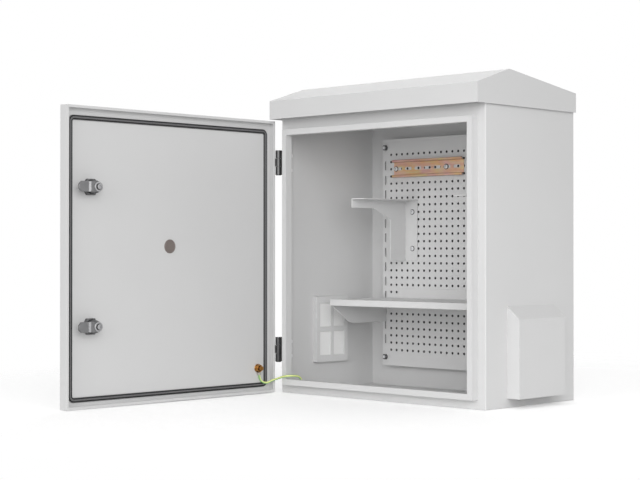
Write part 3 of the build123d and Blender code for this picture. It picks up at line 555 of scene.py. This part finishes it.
def upright_slot(x, z):
    """Outline of an upright slot with round ends."""
    arc = [pi * part / slot_arcs for part in range(slot_arcs + 1)]
    ends = [(slot_radius * cos(angle), slot_half + slot_radius * sin(angle)) for angle in arc]
    return [(x + a, z + b) for a, b in ends] + [(x - a, z - b) for a, b in ends]


blank = bpy.data.curves.new("blank", "CURVE")
blank.dimensions = "2D"
blank.fill_mode = "BOTH"
blank.extrude = (panel_high.y - panel_low.y) / 2
panel_left, panel_bottom = panel_low.x, panel_low.z
panel_right, panel_top = panel_high.x, panel_high.z
punched(
    blank,
    (
        (panel_left, panel_bottom),
        (panel_right, panel_bottom),
        (panel_right, panel_top),
        (panel_left, panel_top),
    ),
)
for column in range(columns):
    for row in range(rows):
        hole_x = first_column + column * pitch
        punched(blank, round_hole(hole_x, first_row - row * pitch, hole_radius))
for side in (-1, 1):
    slot_x = side * (-first_column + pitch)
    for slot in range(slots):
        punched(blank, upright_slot(slot_x, first_row - (1.5 + 2 * slot) * pitch))
    punched(blank, round_hole(slot_x, first_row + pitch, stud_hole))
    punched(blank, round_hole(slot_x, first_row - rows * pitch, stud_hole))
flat_blank = linked("flat_blank", blank)
panel_mesh = bpy.data.meshes.new_from_object(flat_blank)
bpy.data.objects.remove(flat_blank)
stood_up = Matrix.Rotation(pi / 2, 4, "X")
in_place = Matrix.Translation((0, (panel_low.y + panel_high.y) / 2, 0))
panel_mesh.transform(in_place @ stood_up)
# The inside paint is the body's paint written lighter, as painted light for the inside of the body.
lightened_inside_paint = powder_coat("lightened_inside_paint", 0.72)
panel = linked("mounting_panel_punched", panel_mesh)
fitted(panel, "mounting_panel", lightened_inside_paint)

# Painted shade: the walls of the panel's holes and slots get a near-black finish.
hole_wall_shade = Finish("hole_wall_shade", Specular_IOR_Level=0.3)
hole_shade_grain = hole_wall_shade.place.noise(1500, 3)
hole_wall_shade.varies(
    Base_Color=hole_shade_grain.between(grey(0.05, 0.002), grey(0.13, 0.004)),
    Roughness=0.5 + hole_shade_grain * 0.2,
)
panel.data.materials.append(hole_wall_shade.material)
rim = 0.001
for face in panel.data.polygons:
    off_sides = abs(face.center.x) < panel_right - rim
    off_ends = panel_bottom + rim < face.center.z < panel_top - rim
    if off_sides and off_ends and abs(face.normal.y) < 0.5:
        face.material_index = 1


# Panel nuts: dark zinc-plated hexagon nuts, one at each corner. They press
# the panel on the shoulders of the body's bright weld studs, which hold it
# off the back wall.
def hexagon_nut(node, finish, slot, flats, bore, axis, **cuts):
    """Nut with chamfered corners and a lead-in at each end of its plain bore."""
    thick = piece_length(node, axis)
    outside = flats / 2 / cos(pi / 6)
    face = flats / 2 * 0.98
    chamfer = (outside - flats / 2) * 0.6
    lead = flats * 0.04
    profile = (
        (bore + lead, 0.0),
        (face, 0.0),
        (outside, chamfer),
        (outside, thick - chamfer),
        (face, thick),
        (bore + lead, thick),
        (bore, thick - lead),
        (bore, lead),
        (bore + lead, 0.0),
    )
    turned(node, finish, slot, profile, axis, hexagon=(flats, 1, 4), **cuts)


outward = (0, -1, 0)
stud_radius = 0.003
stud_end = Vector((0, 0.003, 0))
stud_root = Vector((0, 0.0012, 0))
dark_zinc = plated("dark_zinc", grey(0.09, 0.003), grey(0.20, 0.005), roughness=0.32, metallic=0.7)
for side in ("left", "right"):
    for level in ("upper", "lower"):
        node = f"panel_nut_{side}_{level}"
        low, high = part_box(node)
        recoated(body, bright_zinc, low - stud_end, high + stud_root)
        hexagon_nut(node, dark_zinc, "bright_zinc", high.z - low.z, stud_radius, outward)


# Mounting rail: folded steel strip in the shape of a hat, zinc plated and
# passivated yellow, so it shimmers from gold to pink, with slots for screws.
rail_low, rail_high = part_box("din_rail")
rail_middle = (rail_low.z + rail_high.z) / 2
rail_half = (rail_high.z - rail_low.z) / 2
rail_zinc = Finish("rail_zinc", Metallic=0.75)
rail_clouds = rail_zinc.place.stretched((1, 2.2, 2.2)).noise(22, 2).steps((0.38, 0.0), (0.62, 1.0))
rail_bands = rail_zinc.place.stretched((0.5, 1, 3)).noise(55, 2).steps((0.4, 0.0), (0.66, 1.0))
rail_grain = rail_zinc.place.stretched((1, 12, 12)).noise(160, 3)
rail_gold = rail_clouds.between((0.93, 0.58, 0.30, 1), (0.80, 0.46, 0.44, 1))
rail_pale = rail_clouds.between((0.86, 0.70, 0.38, 1), (0.97, 0.62, 0.60, 1))
rail_tone = rail_bands.between(rail_gold, rail_pale)
from_middle = abs(rail_zinc.place.along(2) - rail_middle) * (1 / rail_half)
# Painted shade: dark bands where the strip is folded, and along its edges.
rail_fold_shade = from_middle.steps((0.66, 0.0), (0.74, 1.0), (0.82, 0.1), (0.92, 0.0), (0.99, 1.0))
rail_zinc.varies(
    Base_Color=(rail_fold_shade * 0.62).between(rail_tone, (0.30, 0.13, 0.06, 1)),
    Roughness=0.26 + rail_grain * 0.2,
    Normal=rail_grain.relief(0.00008, 0.4),
)
shaped("din_rail", "folded", rail_zinc, rounding=0.00025)


# Pan-head screws: zinc-plated, with a cross recess. Two hold the rail, and
# two hold each device bracket, through holes of the panel's grid.
# Washer and head, as shares of the head's radius and height.
washer_and_head = (
    (1.22, 0.0),
    (1.22, 0.2),
    (0.97, 0.26),
    (1.0, 0.34),
    (0.97, 0.45),
    (0.82, 0.82),
    (0.55, 0.97),
    (0.5, 0.98),
    (0.22, 1.0),
    (0.06, 1.0),
)
cross_recess = (4, 0.0020, 0.25, 0.0010)


def pan_head_screw(node, radius, height, shank, axis):
    """Screw with a washer: radius and height are its head's, and shank is its shank's radius."""
    length = piece_length(node, axis) - height
    profile = [(shank * 0.7, 0.0), (shank, shank * 0.4), (shank, length)]
    profile += [(radius * out, length + height * up) for out, up in washer_and_head]
    # The washer's rim and top, the head's foot and the cross recess are painted near black as shade.
    turned(
        node,
        bright_zinc,
        "bright_zinc",
        profile,
        axis,
        sides=32,
        recess=cross_recess,
        dirty=(3, 4, 5),
    )


sides_and_levels = [(side, level) for side in ("left", "right") for level in ("upper", "lower")]
panel_screws = ["rail_screw_left", "rail_screw_right"]
panel_screws += [f"bracket_screw_{side}_{level}" for side, level in sides_and_levels]
for node in panel_screws:
    pan_head_screw(node, radius=0.0044, height=0.0026, shank=0.002, axis=outward)


# Device brackets: folded 2 mm sheet with a flange on the panel and a flange
# on top, on which a device lies. Powder coated like the panel.
for side in ("left", "right"):
    shaped(f"bracket_{side}", "folded", lightened_inside_paint, rounding=0.0004)


# Shelf: a folded tray with a lip at the front, a gusset at each side and
# hooks that hang in the panel's slots, so it lifts out by hand.
shaped("shelf", "folded", lightened_inside_paint, rounding=0.0004)


# Vent hoods: folded covers over the vent slots, open below, so that air
# gets in and rain doesn't. Their side flanges are welded to the body.
for side in ("left", "right"):
    shaped(f"vent_hood_{side}", "folded", outside_paint, rounding=0.0005)


# Filter frames: moulded light-grey plastic, clipped over the vent slots
# from inside, each with four windows.
frame_plastic = Finish("frame_plastic", Specular_IOR_Level=0.4)
frame_grain = frame_plastic.place.noise(900, 3)
frame_plastic.varies(
    Base_Color=frame_grain.between(grey(0.66), grey(0.76)),
    Roughness=0.48 + frame_grain * 0.14,
    Normal=frame_grain.relief(0.00006, 0.35),
)
for side in ("left", "right"):
    shaped(f"filter_frame_{side}", "moulded", frame_plastic, rounding=0.0005)


# Filter mats: loose white fleece pressed behind the frame's windows. Its
# fibres run every way, so its face is soft and uneven.
fleece = Finish("filter_fleece", Roughness=0.95, Sheen_Weight=0.3)
fleece_fibre = fleece.place.stretched((1, 1, 5)).noise(700, 4)
fleece_cross = fleece.place.stretched((1, 5, 1)).noise(620, 4)
fleece_lump = fleece.place.noise(60, 3)
fleece_tone = fleece_fibre * 0.4 + fleece_cross * 0.4 + fleece_lump * 0.2
fleece.varies(
    Base_Color=fleece_tone.between((0.88, 0.88, 0.87, 1), (1.0, 1.0, 1.0, 1)),
    Normal=fleece_tone.relief(0.0008, 0.9),
)
mat_cuts = 20
edge_share = 0.72
crown_share = 0.24
lump_share = 0.02
lumps_across = 37
lumps_up = 29
for side in ("left", "right"):
    node = f"filter_mat_{side}"
    low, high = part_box(node)
    work = bmesh.new()
    bmesh.ops.create_cube(work, size=1.0)
    bmesh.ops.subdivide_edges(work, edges=work.edges[:], cuts=mat_cuts, use_grid_fill=True)
    for vertex in work.verts:
        crown = (1 - (2 * vertex.co.y) ** 4) * (1 - (2 * vertex.co.z) ** 4)
        vertex.co.x *= edge_share + crown_share * crown
        lump = sin(lumps_across * vertex.co.y) * cos(lumps_up * vertex.co.z)
        vertex.co.x += lump_share * lump
    work.transform(Matrix.Diagonal((*(high - low), 1)))
    work.transform(Matrix.Translation((low + high) / 2))
    mesh = bpy.data.meshes.new(node)
    work.to_mesh(mesh)
    work.free()
    mesh.shade_smooth()
    fitted(linked(f"{node}_fleece", mesh), node, fleece)


# Door: an outer tray and an inner skin of folded sheet, foamed together,
# both powder coated. The skin carries the gasket, the locks and a plug.
door_paint = powder_coat("door_paint", 0.66)
shaped("door_shell", "folded", door_paint, rounding=0.0005)
shaped("door_liner", "folded", door_paint, rounding=0.0004)


# Gasket: foam rubber strip glued to the door's inner skin in one closed
# ring with round corners, which closes on the gutter's face. A groove runs
# along each side of its middle bead.
rubber = Finish("gasket_rubber", Specular_IOR_Level=0.3)
rubber_pores = rubber.place.noise(1800, 3)
rubber_cells = rubber.place.node(
    "ShaderNodeTexVoronoi", {}, {"Vector": rubber.place, "Scale": 900}, "Distance"
)
rubber_tone = rubber_pores * 0.6 + rubber_cells * 0.4
rubber_face = rubber_tone.between(grey(0.085, 0.002), grey(0.21, 0.004))
# Painted shade: the faces of the two grooves are painted near black.
rubber.varies(
    Base_Color=rubber.mark("groove").between(rubber_face, grey(0.02, 0.001)),
    Roughness=0.46 + rubber_pores * 0.2,
    Normal=(rubber_cells + rubber_pores * 0.5).relief(0.0003, 0.7),
)
strip_half = 0.00425
bend_radius = 0.0074
bend_parts = 8
strip_profile = (
    (-1.0, 0.0),
    (-1.0, 0.46),
    (-0.92, 0.58),
    (-0.8, 0.56),
    (-0.74, 0.12),
    (-0.44, 0.12),
    (-0.4, 0.66),
    (-0.24, 0.92),
    (0.0, 1.0),
    (0.24, 0.92),
    (0.4, 0.66),
    (0.44, 0.12),
    (0.74, 0.12),
    (0.8, 0.56),
    (0.92, 0.58),
    (1.0, 0.46),
    (1.0, 0.0),
)
groove_shade_steps = (3, 4, 5, 10, 11, 12)
low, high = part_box("door_gasket")
inset = strip_half + bend_radius
strip_line = []
for quarter in range(4):
    middle_y = low.y + inset if quarter in (1, 2) else high.y - inset
    middle_z = low.z + inset if quarter in (2, 3) else high.z - inset
    for part in range(bend_parts + 1):
        angle = (quarter + part / bend_parts) * pi / 2
        strip_line.append((middle_y, middle_z, cos(angle), sin(angle)))
work = bmesh.new()
groove = work.faces.layers.float.new("groove")
rings = []
for middle_y, middle_z, out_y, out_z in strip_line:
    ring = []
    for across, rise in strip_profile:
        reach = bend_radius + across * strip_half
        x = low.x + rise * (high.x - low.x)
        ring.append(work.verts.new((x, middle_y + reach * out_y, middle_z + reach * out_z)))
    rings.append(ring)
for ring, after in zip(rings, rings[1:] + rings[:1]):
    for step in range(len(ring) - 1):
        face = work.faces.new((ring[step], ring[step + 1], after[step + 1], after[step]))
        face[groove] = 1.0 if step in groove_shade_steps else 0.0
    work.faces.new((ring[-1], ring[0], after[0], after[-1]))
bmesh.ops.recalc_face_normals(work, faces=work.faces)
mesh = bpy.data.meshes.new("door_gasket")
work.to_mesh(mesh)
work.free()
mesh.shade_smooth()
mesh.set_sharp_from_angle(angle=radians(55))
fitted(linked("door_gasket_foamed", mesh), "door_gasket", rubber)


# Plug: a brown moulded cap pressed into a hole of the door's inner skin,
# with a raised rim and a shallow dish. The open door's skin faces right.
to_the_right = (1, 0, 0)
brown_plastic = Finish("brown_plastic", Specular_IOR_Level=0.4)
brown_grain = brown_plastic.place.noise(1300, 3)
brown_plastic.varies(
    Base_Color=brown_grain.between((0.15, 0.125, 0.115, 1), (0.24, 0.205, 0.19, 1)),
    Roughness=0.5 + brown_grain * 0.15,
    Normal=brown_grain.relief(0.00008, 0.4),
)
plug_neck = 0.009
plug_rim = 0.0125
plug_profile = (
    (plug_neck, 0.0),
    (plug_neck, 0.004),
    (plug_rim, 0.004),
    (plug_rim, 0.0052),
    (plug_rim - 0.0008, 0.006),
    (plug_rim - 0.0021, 0.006),
    (plug_rim - 0.0027, 0.0053),
    (0.004, 0.0050),
    (0.0005, 0.0050),
)
turned("door_plug", brown_plastic, "brown_plug", plug_profile, to_the_right, sides=48)


# Hinges: black cast leaves screwed through the body's wall, door leaves
# welded to the door's edge, and a steel pin that is peened at both ends.
to_the_left = (-1, 0, 0)
hinge_thread = 0.0025
hinge_nut_flats = 0.008
black_coat = Finish("black_hinge", Specular_IOR_Level=0.6, Coat_Weight=0.6, Coat_Roughness=0.06)
black_grain = black_coat.place.noise(1100, 3)
black_coat.varies(
    Base_Color=black_grain.between(grey(0.006, 0.0005), grey(0.02, 0.0015)),
    Roughness=0.14 + black_grain * 0.14,
    Normal=black_grain.relief(0.0001, 0.5),
)
for level in ("upper", "lower"):
    hinge = f"hinge_{level}"
    shaped(f"{hinge}_body_leaf", "cast", black_coat, rounding=0.0005)
    shaped(f"{hinge}_door_leaf", "cast", black_coat, rounding=0.0005)
    shaped(f"{hinge}_pin", "peened", black_coat, rounding=0.0004)
    for end in ("top", "bottom"):
        screw = f"{hinge}_screw_{end}"
        nut = f"{hinge}_nut_{end}"
        pan_head_screw(screw, radius=0.0045, height=0.0025, shank=hinge_thread, axis=to_the_left)
        hexagon_nut(
            nut, bright_zinc, "bright_zinc", hinge_nut_flats, hinge_thread, to_the_right
        )


# Quarter-turn locks: a zinc housing through both skins with a big nut on
# it, and a spindle that turns in it with a cranked steel cam. A socket
# screw on a washer holds the cam.
lock_bore = 0.011
lock_nut_flats = 0.028
cam_zinc = plated("cam_zinc", grey(0.16, 0.005), grey(0.30, 0.005), roughness=0.26, metallic=0.7)
screw_zinc = plated(
    "lock_screw_zinc", grey(0.32, 0.01), grey(0.56, 0.01), roughness=0.24, metallic=0.6
)
screw_shank = 0.003
washer_radius = 0.0085
washer_at = 0.01
head_radius = 0.0051
head_at = washer_at + 0.0012
socket_reach = 0.0029
lock_screw_profile = (
    (screw_shank - 0.0004, 0.0),
    (screw_shank, 0.0006),
    (screw_shank, washer_at),
    (washer_radius - 0.0002, washer_at),
    (washer_radius, washer_at + 0.0004),
    (washer_radius, washer_at + 0.0009),
    (washer_radius - 0.0004, head_at),
    (head_radius + 0.0007, head_at),
    (head_radius, head_at + 0.0004),
    (head_radius, head_at + 0.0022),
    (head_radius - 0.0005, head_at + 0.0029),
    (head_radius - 0.0014, head_at + 0.0032),
    (socket_reach, head_at + 0.0032),
    (socket_reach, head_at + 0.001),
    (0.0004, head_at + 0.0008),
)
for level in ("upper", "lower"):
    lock = f"lock_{level}"
    shaped(f"{lock}_housing", "cast", dark_zinc, rounding=0.0005)
    shaped(f"{lock}_spindle", "cast", dark_zinc, rounding=0.0004)
    shaped(f"{lock}_cam", "pressed", cam_zinc, rounding=0.0005)
    # The washer's underside and rim and the head's foot and side are painted near black as shade.
    turned(
        f"{lock}_screw",
        screw_zinc,
        "dark_zinc",
        lock_screw_profile,
        to_the_right,
        sides=48,
        hexagon=(socket_flats, 12, 14),
        dirty=(2, 3, 4, 7, 8, 9),
    )
    hexagon_nut(
        f"{lock}_nut",
        dark_zinc,
        "dark_zinc",
        lock_nut_flats,
        lock_bore,
        to_the_right,
        sides=48,
        corner_at=pi / 6,
    )


# Earthing points: a threaded weld stud on the door and one on the body's
# floor, each with a tinned ring lug under a flanged nut. Nuts and studs are
# copper coloured, with painted shade in their threads and grooves.
copper = plated(
    "copper_zinc", (0.12, 0.034, 0.006, 1), (0.86, 0.42, 0.10, 1), roughness=0.18, metallic=0.85
)
tin = plated("tinned_lug", (0.45, 0.43, 0.40, 1), (0.72, 0.70, 0.66, 1), roughness=0.28)
earth_nut_flats = 0.013
nut_bore = 0.0042
nut_flange = 0.0079
nut_groove = 0.0072
nut_corner = 0.0075
nut_height = 0.008
earth_nut_profile = (
    (nut_bore, 0.0),
    (nut_flange - 0.0003, 0.0),
    (nut_flange, 0.0003),
    (nut_flange, 0.0014),
    (nut_groove + 0.0002, 0.0019),
    (nut_groove, 0.0021),
    (nut_corner, 0.0024),
    (nut_corner, 0.0072),
    (0.0067, nut_height - 0.0001),
    (0.0052, nut_height),
    (nut_bore + 0.0003, 0.0074),
    (nut_bore, 0.0074),
    (nut_bore, 0.0),
)
lug_thickness = 0.0012
thread_root = 0.00408
thread_depth = 0.00022
half_pitch = 0.00062
half_turns = 21
stud_tip = 0.0041
stud_length = 0.01406
stud_profile = [(thread_root, 0.0001)]
for half_turn in range(half_turns):
    radius = thread_root + thread_depth * (half_turn % 2)
    stud_profile.append((radius, 0.0002 + half_pitch * half_turn))
stud_profile += [(stud_tip, 0.0136), (stud_tip, stud_length), (0.0005, stud_length)]
for name, body_name, axis in (("door", "door", to_the_right), ("body", "cabinet", upward)):
    nut = f"earth_nut_{name}"
    # The groove over the flange and the lead-in of the bore are painted near black as shade.
    turned(
        nut,
        copper,
        "yellow_zinc",
        earth_nut_profile,
        axis,
        sides=48,
        hexagon=(earth_nut_flats, 5, 8),
        dirty=(4, 5, 9, 10),
    )
    shaped(f"wire_lug_{name}", "pressed", tin, rounding=0.00025)
    stud_base = seat(nut, axis) - Vector(axis) * lug_thickness
    # Every other ring of the stud's thread is painted near black as shade.
    stud_mesh = lathe(f"earth_stud_{name}", stud_profile, stud_base, axis, dirty=range(2, 20, 2))
    stud = linked(f"earth_stud_{name}", stud_mesh)
    stud.data.materials.append(copper.material)
    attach(stud, body_name)


# Studio: a white floor under the cabinet that fades into a white room, and
# soft lamps round it. The floor keeps the cabinet's shadow.
def ray(tone, kind):
    """1 for a ray of this kind, such as one from the camera, and 0 for any other."""
    return tone.node("ShaderNodeLightPath", {}, {}, f"Is {kind} Ray")


world = bpy.data.worlds.new("studio")
bpy.context.scene.world = world
bpy.context.scene.view_settings.view_transform = "Standard"
world.use_nodes = True
room = Tone(world.node_tree)
seen = ray(room, "Camera").larger(ray(room, "Glossy")).larger(ray(room, "Transmission"))
room_light = 0.46
sky = world.node_tree.nodes["Background"]
sky.inputs["Color"].default_value = grey(1)
world.node_tree.links.new((room_light + seen * (1 - room_light)).socket, sky.inputs["Strength"])

floor_finish = Finish(
    "studio_floor",
    Base_Color=grey(1),
    Roughness=0.9,
    Specular_IOR_Level=0.1,
    Emission_Strength=1.0,
)
from_cabinet = floor_finish.place.node(
    "ShaderNodeVectorMath", {"operation": "LENGTH"}, {0: floor_finish.place}, 1
)
floor_finish.varies(
    Alpha=(from_cabinet * 0.5).steps((0.32, 1.0), (0.6, 0.0)),
    Emission_Color=ray(floor_finish.place, "Camera").between(grey(0), grey(0.26)),
)
floor_half = 6
floor_z = cad_box[0].z - 0.0005
floor_corners = [(-1, -1), (1, -1), (1, 1), (-1, 1)]
floor_mesh = bpy.data.meshes.new("studio_floor")
floor_mesh.from_pydata(
    [(x * floor_half, y * floor_half, floor_z) for x, y in floor_corners], [], [(0, 1, 2, 3)]
)
floor = linked("studio_floor", floor_mesh)
floor.data.materials.append(floor_finish.material)


def lamp(name, place, aim, size, power):
    """Square soft lamp that points at the cabinet."""
    light = bpy.data.lights.new(name, "AREA")
    light.size = size
    light.energy = power
    lit = linked(name, light)
    lit.location = place
    lit.rotation_euler = (Vector(aim) - Vector(place)).to_track_quat("-Z", "Y").to_euler()


lamp("right_lamp", (2.35, -2.05, 0.75), (-0.05, -0.2, -0.05), size=2.0, power=50)
lamp("front_lamp", (0.3, -3.5, 0.6), (0, -0.2, 0), size=2.0, power=28)
lamp("back_lamp", (-2.2, 2.8, 1.4), (0, -0.2, 0), size=2.4, power=40)
